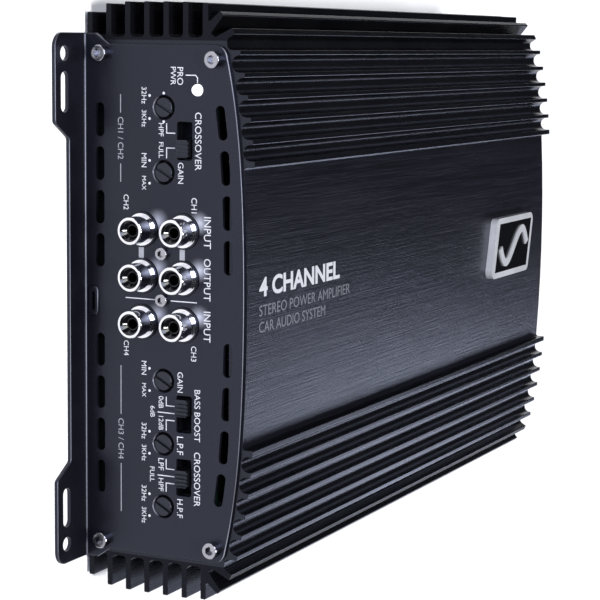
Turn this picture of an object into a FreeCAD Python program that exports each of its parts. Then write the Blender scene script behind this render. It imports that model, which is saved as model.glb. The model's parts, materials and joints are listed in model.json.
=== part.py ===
import FreeCAD, Part
import math
import os

V = FreeCAD.Vector

# A four-channel car amplifier lying on its mounting ears, in millimetres.
# X runs across the width, Y along the finned extrusion (controls at -Y, wiring at +Y) and Z is up.
# The origin is the centre of the footprint, on the plane that the ears rest on.

# ---- driving dimensions -------------------------------------------------------------------------
BODY_HALF = 131.5            # outer face of each end plate, from the middle
SHEET = 1.2                  # steel sheet of the end plates and of the bottom cover
EXTRUSION_HALF = BODY_HALF - SHEET

# heat sink cross-section
CROWN_TOP = 56.3             # crowned top face at the centre line
CROWN_SQUARE = 0.00058       # the crown falls by CROWN_SQUARE x^2 + CROWN_FOURTH x^4
CROWN_FOURTH = 9.5e-8
TOP_FIN_PITCH = 6.45
TOP_FIN_INNERMOST = 42.85
TOP_FIN_COUNT = 6            # upright fins on each side; the canted corner fin comes on top
TOP_FIN_HEIGHT = 3.45
TOP_FIN_THICKNESS = 1.5
INNERMOST_THICKNESS = 1.9
TOP_ROOT_RADIUS = 2.3
WALL_OUTER = 79.4
WALL_INNER = 74.4
SIDE_FIN_PITCH = 6.6
SIDE_FIN_TOP = 41.85         # middle height of the uppermost side fin
SIDE_FIN_THICKNESS = 1.8
SIDE_FIN_TIPS = [86.7, 89.2, 89.8, 89.8, 89.8, 89.7, 89.3]
SIDE_ROOT_RADIUS = 1.2
FIN_TIP_RADIUS = 0.3
CEILING = 50.3
BOSS_INNER = 69.8            # screw bosses in the lower corners of the extrusion
BOSS_TOP = 11.2
COVER_TOP = 2.7              # the bottom cover seats against this level
COVER_REBATE = 77.5

# end plates
FLANGE_HALF = 80.5
EAR_REACH = 16.1
FLANGE_REACH = 8.7
EAR_INNER = 54.0
FLANGE_STEP = 49.2
BEND_RADIUS = 0.6
EDGE_EASE = 0.45             # rounding along the outline of the visible face
PLATE_HALF = 77.35
PLATE_REVEAL = 0.55          # the plate's top edge sits this far below the crown
EAR_HOLE = (74.4, 11.15, 2.25)        # x, reach from the plate, radius
EAR_SLOT = (63.0, 11.15, 2.0, 12.2)   # x, reach, half width, end-to-end length
VENT_LENGTH = 10.15
VENT_WIDTH = 3.0
VENT_ROWS = [15.25, 28.4, 41.55, 54.7]
VENT_LOW = 6.45
VENT_DROP = 5.65

# corner screws, M3 socket heads
SCREW_LOW = (74.5, 7.3)
SCREW_HIGH = (73.0, 45.9)
SCREW_HEAD = (2.5, 2.6)      # radius, height
SCREW_SHANK = 1.45
SCREW_PILOT = 1.5
HEX_KEY = 2.5

# control panel
TRIMMER_Z = 28.6
TRIMMER_X = {"front_crossover_trimmer": -58.8, "front_gain_trimmer": -39.6,
             "rear_gain_trimmer": 23.1, "rear_lowpass_trimmer": 42.45, "rear_highpass_trimmer": 61.8}
TRIMMER_RADIUS = 2.9
TRIMMER_CLEARANCE = 0.05
TRIMMER_HOLE = 3.4
TRIMMER_SLOT_ANGLE = 61.0    # screwdriver slot from +X towards +Z, at the minimum stop
SWITCH_Z = 35.7
SWITCH_X = {"front_crossover_slider": -49.1, "bass_boost_slider": 32.8, "rear_crossover_slider": 52.2}
SLIDER_REST = {"front_crossover_slider": 2.2, "bass_boost_slider": -2.2, "rear_crossover_slider": 0.0}
WINDOW = (11.4, 5.2)
SLIDER = (5.2, 4.0)          # length, height
SLIDER_PROUD = 2.2
LED_AT = (-64.1, 40.0)
LED_RADIUS = 1.75

# phono jacks
JACK_X = [-22.33, -8.33, 5.67]
JACK_Z = [21.26, 35.42]
JACK_REACH = 7.7
JACK_OUTER = 4.15
JACK_INNER = 3.25
JACK_PIN = 1.6
JACK_BUSHING = 5.3
JACK_HOUSING = (-29.6, 12.9, 13.0, 43.6)   # low x, high x, low z, high z
JACK_SCREW_X = [-15.33, -1.33]
JACK_SCREW_Z = 28.34

# bottom cover, main board and the parts on it
COVER_HALF = COVER_REBATE - 0.2
COVER_SCREW_X = 73.4
COVER_SCREW_Y = [-108.0, -36.0, 36.0, 108.0]
BOARD_TOP = 13.0
BOARD_THICKNESS = 1.6
BOARD_HALF = 73.4
STANDOFFS = [(x, y) for x in (-62.0, 62.0) for y in (-100.0, 0.0, 100.0)]
STANDOFF_RADIUS = 3.0
CONTROL_BOARD_Y = -121.5     # front face of the two small upright boards
TOROID_AT = (-22.0, 26.0)
CHOKE_AT = (-46.0, 92.0)
PACKAGE_Y = [-60.0, -48.0, -24.0, -12.0, 12.0, 24.0, 48.0, 60.0]
CLAMP_SCREW_Y = [-72.0, -36.0, 0.0, 36.0, 72.0]
CLAMP_Z = 26.0

# raised louvre under the phono jacks: x, z, length, width
LANCE = (0.3, 4.3, 9.2, 3.2)

# wiring end; a block is its low x, high x, low z and high z
POWER_BLOCK = (-68.6, -31.4, 13.0, 31.0)
SPEAKER_BLOCK = (6.2, 68.2, 13.0, 28.0)
FUSE_BLOCK = (-25.2, -0.8, 13.0, 36.5)
BLOCK_GAP = 0.3              # between a terminal block and the edge of its cut-out
TERMINAL_REACH = 11.0        # the terminal blocks stand this far out of the wiring panel
POWER_X = [-62.0, -50.0, -38.0]
POWER_CAGE = (4.6, 12.0, 15.5, 27.5)      # half width, depth, low z, high z
POWER_WIRE = (20.6, 3.6, 9.0)             # z, radius, depth
SPEAKER_X = [10.5 + 7.6 * i for i in range(8)]
SPEAKER_CAGE = (2.9, 9.0, 15.0, 24.6)
SPEAKER_WIRE = (18.4, 2.1, 7.5)
FUSE_X = {"left_fuse": -19.0, "right_fuse": -7.0}
FUSE_BODY = (5.1, 19.1, 12.2)             # thickness, width, depth
FUSE_Z = 24.0
FUSE_SEAT = BODY_HALF - 3.0               # inner end of a plugged-in fuse body
BLADE = (0.7, 5.2, 7.0)                   # thickness, width, length

# badge on the crown
BADGE_Y = 88.5               # middle of the badge along the extrusion
BADGE_LENGTH = 41.0
BADGE_WIDTH = 23.0
BADGE_LEAN = 3.0
BADGE_TOP = CROWN_TOP + 2.6


# ---- helpers ------------------------------------------------------------------------------------
def crown(x):
    return CROWN_TOP - CROWN_SQUARE * x ** 2 - CROWN_FOURTH * x ** 4


def box(x0, x1, y0, y1, z0, z1):
    return Part.makeBox(x1 - x0, y1 - y0, z1 - z0, V(x0, y0, z0))


def rod(radius, start, direction, length):
    return Part.makeCylinder(radius, length, V(*start), V(*direction))


def tube(outer, inner, start, direction, length):
    return rod(outer, start, direction, length).cut(rod(inner, start, direction, length))


def mirror_x(shape):
    return shape.mirror(V(0, 0, 0), V(1, 0, 0))


def turned(shape):
    # the same thing at the other end of the amplifier
    copy = shape.copy()
    copy.rotate(V(0, 0, 0), V(0, 0, 1), 180)
    return copy


def fused(shapes):
    whole = shapes[0]
    if len(shapes) > 1:
        whole = whole.fuse(shapes[1:])
    return whole.removeSplitter()


def group(shapes):
    solids = []
    for shape in shapes:
        solids.extend(shape.Solids)
    return Part.makeCompound(solids)


def corner_points(before, corner, after, radius):
    # start, middle and end of the arc that rounds one corner
    to_before = (before - corner).normalize()
    to_after = (after - corner).normalize()
    half = math.acos(max(-1.0, min(1.0, to_before.dot(to_after)))) / 2
    tangent = radius / math.tan(half)
    bisector = (to_before + to_after).normalize()
    centre = corner + bisector * (radius / math.sin(half))
    return corner + to_before * tangent, centre - bisector * radius, corner + to_after * tangent


def rounded_edges(vertices, closed):
    # straight edges with an arc at each vertex that has a radius; a vertex is (point, radius)
    count = len(vertices)
    edges, cursor, first = [], None, None
    for i, (point, radius) in enumerate(vertices):
        if radius and (closed or 0 < i < count - 1):
            start, middle, end = corner_points(vertices[i - 1][0], point,
                                               vertices[(i + 1) % count][0], radius)
        else:
            start, middle, end = point, None, point
        if cursor is not None and cursor.distanceToPoint(start) > 1e-6:
            edges.append(Part.makeLine(cursor, start))
        if middle is not None:
            edges.append(Part.Arc(start, middle, end).toShape())
        if first is None:
            first = start
        cursor = end
    if closed:
        edges.append(Part.makeLine(cursor, first))
    return edges


def prism(vertices, plane, start, end):
    # a closed rounded outline in plane "xz" or "xy", extruded along the third axis
    if plane == "xz":
        points = [(V(a, start, b), r) for a, b, r in vertices]
        along = V(0, end - start, 0)
    else:
        points = [(V(a, b, start), r) for a, b, r in vertices]
        along = V(0, 0, end - start)
    return Part.Face(Part.Wire(rounded_edges(points, True))).extrude(along)


def round_box(x0, x1, y0, y1, z0, z1, radius):
    # a box whose four edges along Y are rounded
    outline = [(x0, z0, radius), (x1, z0, radius), (x1, z1, radius), (x0, z1, radius)]
    return prism(outline, "xz", y0, y1)


def slot_xz(x, z, length, width, angle, y0, y1):
    # an obround through the end plate, turned by angle about its own centre
    shape = round_box(-length / 2, length / 2, y0, y1, -width / 2, width / 2, width * 0.49)
    shape.rotate(V(0, 0, 0), V(0, 1, 0), -angle)
    shape.translate(V(x, 0, z))
    return shape


def hexagon(across_flats, start, direction, depth):
    corner = across_flats / math.sqrt(3)
    points = [V(corner * math.cos(math.radians(60 * i)), corner * math.sin(math.radians(60 * i)), 0)
              for i in range(7)]
    shape = Part.Face(Part.makePolygon(points)).extrude(V(0, 0, depth))
    shape.Placement = FreeCAD.Placement(V(*start), FreeCAD.Rotation(V(0, 0, 1), V(*direction)))
    return shape


def socket_screw(seat, inward, head_radius, head_height, shank_radius, shank_length, key):
    # seat is where the head's underside rests; inward is the way the shank goes
    axis = V(*inward)
    top = V(*seat) - axis * head_height
    head = Part.makeCylinder(head_radius, head_height, top, axis)
    rim = [edge for edge in head.Edges if edge.Closed and edge.CenterOfMass.distanceToPoint(top) < 1e-6]
    head = head.makeFillet(head_radius * 0.14, rim)
    head = head.cut(hexagon(key, tuple(top), inward, head_height * 0.6))
    return fused([head, Part.makeCylinder(shank_radius, shank_length, V(*seat), axis)])


def slotted_screw(seat, inward, head_radius, head_height, shank_radius, shank_length):
    axis = V(*inward)
    top = V(*seat) - axis * head_height
    head = Part.makeCylinder(head_radius, head_height, top, axis)
    wide = head_radius * 2.2
    cutter = Part.makeBox(wide, head_radius * 0.36, head_height * 0.9,
                          V(-wide / 2, -head_radius * 0.18, -head_height * 0.45))
    cutter.Placement = FreeCAD.Placement(top, FreeCAD.Rotation(V(0, 0, 1), axis)).multiply(
        FreeCAD.Placement(V(0, 0, 0), FreeCAD.Rotation(V(0, 0, 1), 35)))
    return fused([head.cut(cutter), Part.makeCylinder(shank_radius, shank_length, V(*seat), axis)])


# ---- heat sink ----------------------------------------------------------------------------------
def section_right():
    # the right half of the section, from the crowned face round the outside to the ceiling
    tip = FIN_TIP_RADIUS
    path = []
    inner_side = TOP_FIN_INNERMOST - INNERMOST_THICKNESS / 2
    path.append((inner_side - 1.2, crown(inner_side - 1.2), 0))
    path.append((inner_side, crown(inner_side), 0.8))
    for i in range(TOP_FIN_COUNT):
        x = TOP_FIN_INNERMOST + i * TOP_FIN_PITCH
        half = (INNERMOST_THICKNESS if i == 0 else TOP_FIN_THICKNESS) / 2
        top = crown(x) + TOP_FIN_HEIGHT
        path.append((x - half, top, tip))
        path.append((x + half, top, tip))
        if i < TOP_FIN_COUNT - 1:
            floor = crown(x + TOP_FIN_PITCH / 2)
            path.append((x + half, floor, TOP_ROOT_RADIUS))
            path.append((x + TOP_FIN_PITCH - TOP_FIN_THICKNESS / 2, floor, TOP_ROOT_RADIUS))
    # canted corner fin, then the diagonal fin that forks off the uppermost side fin
    path += [(x + half, 49.2, 1.6), (78.9, 49.0, 1.2),
             (80.5, 51.6, tip), (82.2, 50.7, tip),
             (79.55, 45.2, 0.6), (80.5, 43.5, 0.4),
             (85.9, 47.9, tip), (87.0, 46.7, tip)]
    fork = SIDE_FIN_TOP + SIDE_FIN_THICKNESS / 2
    path.append((83.6, fork, 0.5))
    for i in reversed(range(len(SIDE_FIN_TIPS))):
        z = SIDE_FIN_TOP - (len(SIDE_FIN_TIPS) - 1 - i) * SIDE_FIN_PITCH
        low, high = z - SIDE_FIN_THICKNESS / 2, z + SIDE_FIN_THICKNESS / 2
        if i < len(SIDE_FIN_TIPS) - 1:
            path.append((WALL_OUTER, high, SIDE_ROOT_RADIUS))
        path.append((SIDE_FIN_TIPS[i], high, tip))
        path.append((SIDE_FIN_TIPS[i], low, tip))
        if i > 0:
            path.append((WALL_OUTER, low, SIDE_ROOT_RADIUS))
    # underside with the rebate for the bottom cover, the screw bosses and the ceiling
    path += [(COVER_REBATE, low, 0), (COVER_REBATE, COVER_TOP, 0), (BOSS_INNER, COVER_TOP, 0.5),
             (BOSS_INNER, BOSS_TOP, 0.5), (WALL_INNER, BOSS_TOP, 0.8),
             (WALL_INNER, 41.6, 0.8), (66.0, 41.6, 0.5), (66.0, 47.0, 0.8), (48.0, CEILING, 3.0),
             (40.0, CEILING, 0)]
    return path


def screw_pilots(y_face, inward):
    holes = []
    for x, z in (SCREW_LOW, SCREW_HIGH):
        for side in (-1, 1):
            holes.append(rod(SCREW_PILOT, (side * x, y_face, z), (0, inward, 0), 12.0))
    return holes


def heat_sink():
    half = [(V(x, -EXTRUSION_HALF, z), r) for x, z, r in section_right()]
    right = rounded_edges(half, False)
    left = [edge.mirror(V(0, 0, 0), V(1, 0, 0)) for edge in right]
    begin, end = half[0][0], half[-1][0]
    crest = Part.Arc(V(-begin.x, begin.y, begin.z), V(0, begin.y, crown(0)), begin).toShape()
    ceiling = Part.makeLine(end, V(-end.x, end.y, end.z))
    wire = Part.Wire(Part.__sortEdges__(right + left + [crest, ceiling]))
    body = Part.Face(wire).extrude(V(0, 2 * EXTRUSION_HALF, 0))
    holes = screw_pilots(-EXTRUSION_HALF, 1) + screw_pilots(EXTRUSION_HALF, -1)
    for side in (-1, 1):
        for y in CLAMP_SCREW_Y:
            holes.append(rod(SCREW_PILOT, (side * (WALL_INNER - 1), y, CLAMP_Z), (side, 0, 0), 4.4))
        for y in COVER_SCREW_Y:
            holes.append(rod(SCREW_PILOT, (side * COVER_SCREW_X, y, COVER_TOP - 1), (0, 0, 1), 7.0))
    return body.cut(holes)


# ---- sheet-metal end plates ---------------------------------------------------------------------
def plate_outline():
    # face of the plate in XZ: wide foot, chamfer, straight sides and the crowned top edge
    shoulder = 73.5
    count = 14
    crest = [V(x, 0, crown(x) - PLATE_REVEAL)
             for x in [-shoulder + 2 * shoulder * i / count for i in range(count + 1)]]
    curve = Part.BSplineCurve()
    curve.interpolate(crest)
    side = V(PLATE_HALF, 0, 45.6)
    round_right = Part.Arc(crest[-1], V(76.1, 0, 48.6), side).toShape()
    round_left = Part.Arc(V(-side.x, 0, side.z), V(-76.1, 0, 48.6), crest[0]).toShape()
    foot = [side, V(PLATE_HALF, 0, 9.6), V(FLANGE_HALF, 0, 5.0), V(FLANGE_HALF, 0, -1.0),
            V(-FLANGE_HALF, 0, -1.0), V(-FLANGE_HALF, 0, 5.0), V(-PLATE_HALF, 0, 9.6),
            V(-side.x, 0, side.z)]
    lines = [Part.makeLine(a, b) for a, b in zip(foot[:-1], foot[1:])]
    return Part.Wire(Part.__sortEdges__([curve.toShape(), round_right, round_left] + lines))


def flange_outline():
    # plan of the plate and its two ears, with y = 0 on the outer face
    right = [(FLANGE_STEP, -FLANGE_REACH, 1.5), (EAR_INNER, -EAR_REACH, 1.5),
             (FLANGE_HALF, -EAR_REACH, 4.5), (FLANGE_HALF, SHEET + 1.0, 0)]
    left = [(-x, y, r) for x, y, r in reversed(right)]
    return left + right


def ear_cutters():
    cutters = []
    hole_x, hole_reach, hole_radius = EAR_HOLE
    slot_x, slot_reach, slot_radius, slot_length = EAR_SLOT
    for side in (-1, 1):
        cutters.append(rod(hole_radius, (side * hole_x, -BODY_HALF - hole_reach, -1), (0, 0, 1), 4))
        y = -BODY_HALF - slot_reach
        half = slot_length / 2
        cutters.append(prism([(side * slot_x - half, y - slot_radius, slot_radius * 0.98),
                              (side * slot_x + half, y - slot_radius, slot_radius * 0.98),
                              (side * slot_x + half, y + slot_radius, slot_radius * 0.98),
                              (side * slot_x - half, y + slot_radius, slot_radius * 0.98)],
                             "xy", -1, 3))
    return cutters


def vent_cutters():
    cutters = []
    for side in (-1, 1):
        for row in VENT_ROWS:
            x = side * row
            slope = -2 * CROWN_SQUARE * x - 4 * CROWN_FOURTH * x ** 3
            angle = math.degrees(math.atan(slope))
            limits = (-BODY_HALF - 1, -BODY_HALF + SHEET + 1)
            cutters.append(slot_xz(x, VENT_LOW, VENT_LENGTH, VENT_WIDTH, 0, *limits))
            cutters.append(slot_xz(x, crown(x) - VENT_DROP, VENT_LENGTH, VENT_WIDTH, angle, *limits))
    return cutters


def front_edges(blank, outer):
    # outline of the upright face and of the flange's top face, without the ends of the bend
    edges = []
    for edge in blank.Edges:
        span = edge.BoundBox
        upright = abs(span.YMin - outer) < 1e-4 and abs(span.YMax - outer) < 1e-4
        flat = abs(span.ZMin - SHEET) < 1e-4 and abs(span.ZMax - SHEET) < 1e-4
        above_bend = upright and span.ZMax > BEND_RADIUS + SHEET + 0.01
        outside_bend = flat and span.YMin < outer - BEND_RADIUS - 0.01
        if (above_bend or outside_bend) and span.XLength < 2 * FLANGE_HALF - 0.5:
            edges.append(edge)
    return edges


def end_plate():
    # an L-shaped plate at the -Y end: bend section along X, trimmed to the two outlines
    outer = -BODY_HALF
    inner = outer + SHEET
    low_inside = BEND_RADIUS + SHEET
    centre = V(0, outer - BEND_RADIUS, low_inside)
    diagonal = math.sqrt(0.5)
    bend_out = centre + V(0, diagonal, -diagonal) * low_inside
    bend_in = centre + V(0, diagonal, -diagonal) * BEND_RADIUS
    reach = outer - EAR_REACH - 2
    top = CROWN_TOP + 2
    edges = [Part.makeLine(V(0, reach, 0), V(0, centre.y, 0)),
             Part.Arc(V(0, centre.y, 0), bend_out, V(0, inner, low_inside)).toShape(),
             Part.makeLine(V(0, inner, low_inside), V(0, inner, top)),
             Part.makeLine(V(0, inner, top), V(0, outer, top)),
             Part.makeLine(V(0, outer, top), V(0, outer, low_inside)),
             Part.Arc(V(0, outer, low_inside), bend_in, V(0, centre.y, SHEET)).toShape(),
             Part.makeLine(V(0, centre.y, SHEET), V(0, reach, SHEET)),
             Part.makeLine(V(0, reach, SHEET), V(0, reach, 0))]
    angle = Part.Face(Part.Wire(edges)).extrude(V(2 * FLANGE_HALF + 4, 0, 0))
    angle.translate(V(-FLANGE_HALF - 2, 0, 0))
    face = Part.Face(plate_outline()).extrude(V(0, 3 * EAR_REACH, 0))
    face.translate(V(0, reach - 5, 0))
    plan = prism([(x, y + outer, r) for x, y, r in flange_outline()], "xy", -1, top + 2)
    blank = angle.common(face).common(plan).removeSplitter()
    blank = blank.makeFillet(EDGE_EASE, front_edges(blank, outer))
    cutters = ear_cutters() + vent_cutters()
    for x, z in (SCREW_LOW, SCREW_HIGH):
        for side in (-1, 1):
            cutters.append(rod(1.7, (side * x, outer - 1, z), (0, 1, 0), SHEET + 2))
    return blank.cut(cutters)


def control_panel():
    plate = end_plate()
    outer, through = -BODY_HALF, SHEET + 2
    x, z, length, width = LANCE
    bead = slot_xz(x, z, length, width, 0, outer - 0.7, outer + 0.2)
    rim = [edge for edge in bead.Edges
           if all(abs(vertex.Y - (outer - 0.7)) < 1e-6 for vertex in edge.Vertexes)]
    plate = plate.fuse(bead.makeFillet(0.45, rim))
    cutters = [slot_xz(x, z, length - 3.4, 1.1, 0, outer - 2, outer + through)]
    for x in TRIMMER_X.values():
        cutters.append(rod(TRIMMER_HOLE, (x, outer - 1, TRIMMER_Z), (0, 1, 0), through))
        cutters.append(Part.makeCone(TRIMMER_HOLE + 0.35, TRIMMER_HOLE, 0.35,
                                     V(x, outer, TRIMMER_Z), V(0, 1, 0)))
    for x in SWITCH_X.values():
        cutters.append(round_box(x - WINDOW[0] / 2, x + WINDOW[0] / 2, outer - 1, outer + through,
                                 SWITCH_Z - WINDOW[1] / 2, SWITCH_Z + WINDOW[1] / 2, 0.7))
    cutters.append(rod(LED_RADIUS + 0.15, (LED_AT[0], outer - 1, LED_AT[1]), (0, 1, 0), through))
    for x in JACK_X:
        for z in JACK_Z:
            cutters.append(rod(JACK_BUSHING + 0.15, (x, outer - 1, z), (0, 1, 0), through))
    for x in JACK_SCREW_X:
        cutters.append(rod(1.4, (x, outer - 1, JACK_SCREW_Z), (0, 1, 0), through))
    return plate.cut(cutters)


def terminal_panel():
    plate = turned(end_plate())
    cutters = []
    for x0, x1, z0, z1 in (POWER_BLOCK, SPEAKER_BLOCK, FUSE_BLOCK):
        cutters.append(round_box(x0 - BLOCK_GAP, x1 + BLOCK_GAP, BODY_HALF - SHEET - 1, BODY_HALF + 1,
                                 z0 - BLOCK_GAP, z1 + BLOCK_GAP, 0.8))
    return plate.cut(cutters)


def plate_screws():
    screws = []
    for x, z in (SCREW_LOW, SCREW_HIGH):
        for side in (-1, 1):
            screws.append(socket_screw((side * x, -BODY_HALF, z), (0, 1, 0), SCREW_HEAD[0],
                                       SCREW_HEAD[1], SCREW_SHANK, 10.0, HEX_KEY))
    return group(screws)


# ---- bottom cover -------------------------------------------------------------------------------
def bottom_cover():
    low = COVER_TOP - SHEET
    plate = box(-COVER_HALF, COVER_HALF, -EXTRUSION_HALF + 0.4, EXTRUSION_HALF - 0.4, low, COVER_TOP)
    holes = [rod(1.7, (side * COVER_SCREW_X, y, low - 1), (0, 0, 1), SHEET + 2)
             for side in (-1, 1) for y in COVER_SCREW_Y]
    holes += [rod(1.6, (x, y, low - 1), (0, 0, 1), SHEET + 2) for x, y in STANDOFFS]
    ribs = []
    for x in (-36.0, 0.0, 36.0):
        rib = box(x - 5, x + 5, -95, 95, COVER_TOP - 0.2, COVER_TOP + 1.0)
        groove = box(x - 3.8, x + 3.8, -93.8, 93.8, low - 1, COVER_TOP - 0.2)
        ribs.append((rib, groove))
    plate = plate.fuse([rib for rib, groove in ribs]).cut([groove for rib, groove in ribs])
    return plate.cut(holes).removeSplitter()


def cover_screws():
    low = COVER_TOP - SHEET
    return group([socket_screw((side * COVER_SCREW_X, y, low), (0, 0, 1), 2.6, 1.1, SCREW_SHANK, 6.5, 2.0)
                  for side in (-1, 1) for y in COVER_SCREW_Y])


def standoffs():
    under_board = BOARD_TOP - BOARD_THICKNESS
    pillars = []
    for x, y in STANDOFFS:
        pillar = hexagon(2 * STANDOFF_RADIUS, (x, y, COVER_TOP), (0, 0, 1), under_board - COVER_TOP)
        pillar = pillar.cut(rod(1.3, (x, y, COVER_TOP - 1), (0, 0, 1), 20))
        pillars.append(pillar)
    return group(pillars)


def board_screws():
    return group([slotted_screw((x, y, BOARD_TOP), (0, 0, -1), 2.6, 1.8, 1.25, 6.0)
                  for x, y in STANDOFFS])


# ---- boards and what is on them -----------------------------------------------------------------
def main_board():
    board = box(-BOARD_HALF, BOARD_HALF, -128.5, 128.5, BOARD_TOP - BOARD_THICKNESS, BOARD_TOP)
    holes = [rod(1.6, (x, y, BOARD_TOP - 5), (0, 0, 1), 10) for x, y in STANDOFFS]
    return board.cut(holes)


def control_boards():
    # two small upright boards behind the control panel, one each side of the phono jacks
    back = CONTROL_BOARD_Y + BOARD_THICKNESS
    spans = ((-70.0, -31.2), (14.6, 69.0))
    return group([box(x0, x1, CONTROL_BOARD_Y, back, BOARD_TOP + 0.6, 41.2) for x0, x1 in spans])


def board_headers():
    # right-angle pin headers that carry the upright boards
    strips = []
    for x0, x1 in ((-66.0, -36.0), (20.0, 64.0)):
        low = CONTROL_BOARD_Y + BOARD_THICKNESS
        strips.append(box(x0, x1, low, low + 2.5, BOARD_TOP, BOARD_TOP + 5.0))
    return group(strips)


def trimmer_bodies():
    depth = CONTROL_BOARD_Y - 7.0
    bodies = []
    for x in TRIMMER_X.values():
        case = box(x - 4.3, x + 4.3, depth, CONTROL_BOARD_Y, TRIMMER_Z - 4.6, TRIMMER_Z + 3.4)
        bore = rod(TRIMMER_RADIUS + TRIMMER_CLEARANCE, (x, depth - 1, TRIMMER_Z), (0, 1, 0), 5.5)
        bodies.append(case.cut(bore))
    return group(bodies)


def trimmer_knob(x):
    # a slotted plastic shaft that a screwdriver turns
    tip = -BODY_HALF - 0.35
    shaft = rod(TRIMMER_RADIUS, (x, tip, TRIMMER_Z), (0, 1, 0), 6.8)
    rim = [edge for edge in shaft.Edges
           if edge.Closed and abs(edge.CenterOfMass.y - tip) < 1e-6]
    shaft = shaft.makeFillet(0.25, rim)
    cutter = Part.makeBox(2 * TRIMMER_RADIUS + 2, 1.6, 0.95, V(-TRIMMER_RADIUS - 1, -0.8, -0.475))
    cutter.rotate(V(0, 0, 0), V(0, 1, 0), -TRIMMER_SLOT_ANGLE)
    cutter.translate(V(x, tip, TRIMMER_Z))
    return shaft.cut(cutter)


def switch_bodies():
    front = CONTROL_BOARD_Y - 7.5
    bodies = []
    for x in SWITCH_X.values():
        case = box(x - 6.9, x + 6.9, front, CONTROL_BOARD_Y, SWITCH_Z - 3.1, SWITCH_Z + 3.1)
        well = box(x - 5.5, x + 5.5, front - 1, CONTROL_BOARD_Y - 2.5, SWITCH_Z - 2.3, SWITCH_Z + 2.3)
        bodies.append(case.cut(well))
    return group(bodies)


def slider(name):
    # a ribbed thumb piece that slides along the window
    x = SWITCH_X[name] + SLIDER_REST[name]
    tip = -BODY_HALF - SLIDER_PROUD
    root = CONTROL_BOARD_Y - 2.8
    half_length, half_height = SLIDER[0] / 2, SLIDER[1] / 2
    piece = round_box(x - half_length, x + half_length, tip, root,
                      SWITCH_Z - half_height, SWITCH_Z + half_height, 0.3)
    grooves = []
    for i in range(4):
        at = x - half_length + SLIDER[0] * (i + 0.72) / 4.44
        grooves.append(box(at - 0.22, at + 0.62, tip - 1, tip + 0.75,
                           SWITCH_Z - half_height - 1, SWITCH_Z + half_height + 1))
    return piece.cut(grooves)


def power_led():
    x, z = LED_AT
    dome = Part.makeSphere(LED_RADIUS, V(x, -BODY_HALF, z))
    stem = rod(LED_RADIUS, (x, -BODY_HALF, z), (0, 1, 0), 6.0)
    return fused([dome, stem, rod(LED_RADIUS + 0.35, (x, -BODY_HALF + 5.0, z), (0, 1, 0), 1.0)])


# ---- phono jacks --------------------------------------------------------------------------------
def jack_places():
    return [(x, z) for x in JACK_X for z in JACK_Z]


def rca_housing():
    x0, x1, z0, z1 = JACK_HOUSING
    inner = -BODY_HALF + SHEET
    block = round_box(x0, x1, inner, inner + 13.0, z0, z1, 0.8)
    parts = [block] + [rod(JACK_BUSHING, (x, -BODY_HALF - 0.5, z), (0, 1, 0), 3.0)
                       for x, z in jack_places()]
    housing = fused(parts)
    bores = [rod(JACK_OUTER, (x, -BODY_HALF - 2, z), (0, 1, 0), 12.2) for x, z in jack_places()]
    bores += [rod(1.15, (x, -BODY_HALF - 2, JACK_SCREW_Z), (0, 1, 0), 12.0) for x in JACK_SCREW_X]
    return housing.cut(bores)


def rca_shells():
    shells = []
    flange = -BODY_HALF - 0.5
    for x, z in jack_places():
        barrel = rod(JACK_OUTER, (x, -BODY_HALF - JACK_REACH, z), (0, 1, 0), JACK_REACH + 9.6)
        lip = [edge for edge in barrel.Edges
               if edge.Closed and edge.CenterOfMass.y < -BODY_HALF - JACK_REACH + 0.01]
        barrel = barrel.makeFillet(0.4, lip)
        steps = [rod(4.85, (x, flange - 0.45, z), (0, 1, 0), 0.45),
                 rod(4.5, (x, flange - 0.95, z), (0, 1, 0), 0.95)]
        bore = rod(JACK_INNER, (x, -BODY_HALF - JACK_REACH - 1, z), (0, 1, 0), 30)
        shells.append(fused([barrel] + steps).cut(bore))
    return group(shells)


def rca_insulators():
    pieces = []
    front = -BODY_HALF - JACK_REACH + 0.9
    for x, z in jack_places():
        plug = rod(JACK_INNER, (x, front, z), (0, 1, 0), 15.0)
        dish = Part.makeCone(2.75, 1.85, 0.9, V(x, front, z), V(0, 1, 0))
        bore = rod(1.85, (x, front - 1, z), (0, 1, 0), 20)
        pieces.append(plug.cut([dish, bore]))
    return group(pieces)


def rca_contacts():
    start = -BODY_HALF - JACK_REACH + 2.0
    sleeves = []
    for x, z in jack_places():
        sleeve = rod(1.85, (x, start, z), (0, 1, 0), 13.0)
        sleeves.append(sleeve.cut(rod(JACK_PIN, (x, start - 1, z), (0, 1, 0), 12.0)))
    return group(sleeves)


def rca_screws():
    return group([socket_screw((x, -BODY_HALF, JACK_SCREW_Z), (0, 1, 0), 2.0, 1.5, 1.1, 8.0, 1.9)
                  for x in JACK_SCREW_X])


# ---- power parts inside -------------------------------------------------------------------------
def ring(x, y, z0, height, outer, inner):
    body = tube(outer, inner, (x, y, z0), (0, 0, 1), height)
    return body.makeFillet(1.0, [edge for edge in body.Edges if edge.Closed])


def winding(x, y, z0, height, outer, inner, wire, turns, span=360.0):
    # separate square-section turns round a ring core
    gap = 0.1
    loops = []
    for i in range(turns):
        outside = box(inner - gap - wire, outer + gap + wire, -wire / 2, wire / 2,
                      z0 - gap - wire, z0 + height + gap + wire)
        inside = box(inner - gap, outer + gap, -wire, wire, z0 - gap, z0 + height + gap)
        loop = outside.cut(inside)
        loop.rotate(V(0, 0, 0), V(0, 0, 1), span * i / turns)
        loop.translate(V(x, y, 0))
        loops.append(loop)
    return group(loops)


def transformer_core():
    return ring(*TOROID_AT, BOARD_TOP + 2.4, 19.0, 22.0, 11.0)


def transformer_winding():
    return winding(*TOROID_AT, BOARD_TOP + 2.4, 19.0, 22.0, 11.0, 2.0, 26)


def choke_core():
    return ring(*CHOKE_AT, BOARD_TOP + 2.0, 11.0, 12.0, 6.5)


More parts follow.
